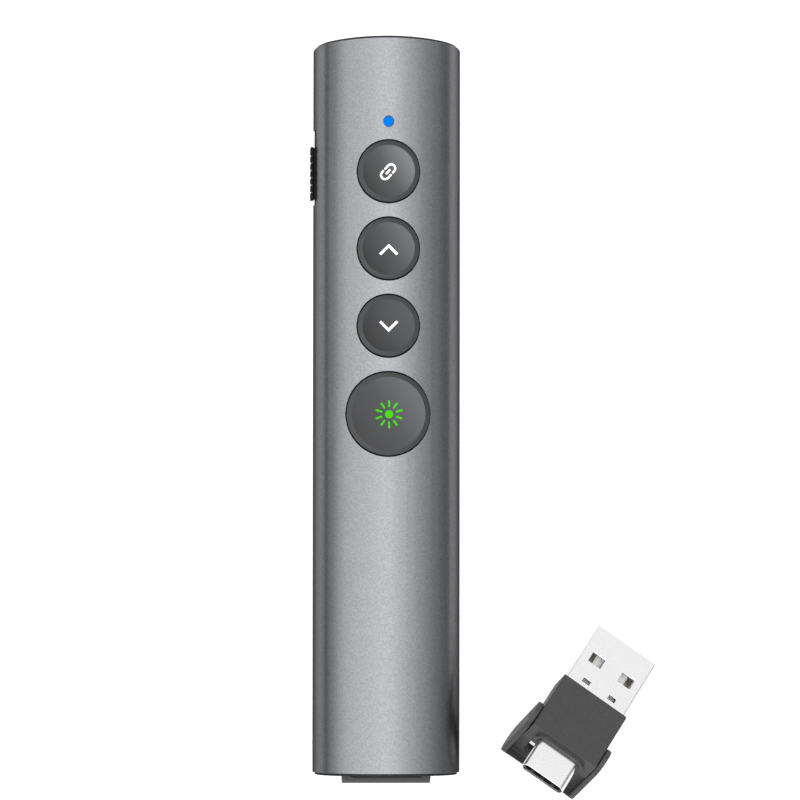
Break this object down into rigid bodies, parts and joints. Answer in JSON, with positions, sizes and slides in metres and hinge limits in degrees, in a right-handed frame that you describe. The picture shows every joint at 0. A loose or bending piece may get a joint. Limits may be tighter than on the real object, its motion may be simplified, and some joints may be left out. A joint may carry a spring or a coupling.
{
  "type": "wireless presentation clicker",
  "caption": "Slim oval metal presenter with dished round buttons, a side power slider, a laser nose and a USB receiver shown stowed and taken out.",
  "frame": {"origin": "centre of the clicker's flat rear end", "axes": "+Y along the body towards the laser, +Z out of the buttons, +X to the right flank"},
  "size_m": [0.0594, 0.1296, 0.0173],
  "materials": {
    "anodised_sleeve": "bead-blasted and anodised grey, satin",
    "cap_plastic": "fine matt black moulding",
    "tray_plastic": "plain moulding",
    "button_plastic": "smooth satin moulding, printed signs",
    "slider_plastic": "matt black moulding",
    "receiver_plastic": "fine matt moulding",
    "plug_steel": "bright nickel-plated sheet",
    "insulator_black": "black insulator",
    "insulator_white": "white insulator",
    "contact_gold": "gold-plated contacts",
    "board_green": "solder-masked board",
    "chip_black": "epoxy package",
    "switch_metal": "tinned steel can",
    "barrel_brass": "turned brass",
    "window_glass": "dark green window",
    "light_blue": "lit blue light pipe",
    "cell_foil": "pouch foil",
    "foam_grey": "soft foam pad",
    "screw_steel": "plated screws"
  },
  "bodies": {
    "clicker": {"outer_sleeve": "anodised_sleeve", "front_cap": "cap_plastic", "rear_cap": "cap_plastic", "chassis_tray": "tray_plastic", "button_frame": "tray_plastic", "tact_switches": "chip_black", "main_board": "board_green", "radio_chip": "chip_black", "crystal": "switch_metal", "status_led": "insulator_white", "light_pipe": "light_blue", "slide_switch": "switch_metal", "slider_bezel": "slider_plastic", "laser_window": "window_glass", "laser_barrel": "barrel_brass", "laser_lens": "window_glass", "laser_diode": "switch_metal", "laser_driver_board": "board_green", "battery_cell": "cell_foil", "battery_foam": "foam_grey", "charge_board": "board_green", "charge_socket": "plug_steel", "charge_socket_tongue": "insulator_black", "frame_screws": "screw_steel"},
    "link_key": {"link_button": "button_plastic", "link_switch_plunger": "insulator_white"},
    "up_key": {"up_button": "button_plastic", "up_switch_plunger": "insulator_white"},
    "down_key": {"down_button": "button_plastic", "down_switch_plunger": "insulator_white"},
    "laser_key": {"laser_button": "button_plastic", "laser_switch_plunger": "insulator_white"},
    "power_key": {"power_slider": "slider_plastic", "slide_switch_lever": "insulator_black"},
    "stowed_receiver": {"stowed_housing": "receiver_plastic", "stowed_usb_a_shell": "plug_steel", "stowed_usb_a_tongue": "insulator_white", "stowed_usb_a_contacts": "contact_gold", "stowed_receiver_board": "board_green", "stowed_usb_c_shell": "plug_steel", "stowed_usb_c_insert": "insulator_black", "stowed_usb_c_springs": "switch_metal", "stowed_loop": "receiver_plastic"},
    "loose_receiver": {"receiver_housing": "receiver_plastic", "receiver_usb_a_shell": "plug_steel", "receiver_usb_a_tongue": "insulator_white", "receiver_usb_a_contacts": "contact_gold", "receiver_board": "board_green", "receiver_usb_c_shell": "plug_steel", "receiver_usb_c_insert": "insulator_black", "receiver_usb_c_springs": "switch_metal"},
    "loose_loop": {"receiver_loop": "receiver_plastic"}
  },
  "joints": [
    {"name": "link_press", "type": "slide", "parent": "clicker", "child": "link_key", "axis": [0, 0, -1], "range_m": [0, 0.0004], "stiffness_N_per_m": 500, "springref_m": -0.0006},
    {"name": "up_press", "type": "slide", "parent": "clicker", "child": "up_key", "axis": [0, 0, -1], "range_m": [0, 0.0004], "stiffness_N_per_m": 500, "springref_m": -0.0006},
    {"name": "down_press", "type": "slide", "parent": "clicker", "child": "down_key", "axis": [0, 0, -1], "range_m": [0, 0.0004], "stiffness_N_per_m": 500, "springref_m": -0.0006},
    {"name": "laser_press", "type": "slide", "parent": "clicker", "child": "laser_key", "axis": [0, 0, -1], "range_m": [0, 0.0004], "stiffness_N_per_m": 500, "springref_m": -0.0006},
    {"name": "power_slide", "type": "slide", "parent": "clicker", "child": "power_key", "axis": [0, 1, 0], "range_m": [0, 0.002]},
    {"name": "receiver_pull", "type": "slide", "parent": "clicker", "child": "stowed_receiver", "axis": [0, -1, 0], "range_m": [0, 0.036]},
    {"name": "loose_receiver_lift", "type": "slide", "parent": "clicker", "child": "loose_receiver", "axis": [0, 0, 1], "range_m": [0, 0.03]},
    {"name": "loose_loop_swing", "type": "hinge", "parent": "loose_receiver", "child": "loose_loop", "pos_m": [0.0305, 0.006, 0.00349], "axis": [-0.8192, 0.5736, 0], "range_deg": [0, 180]}
  ]
}
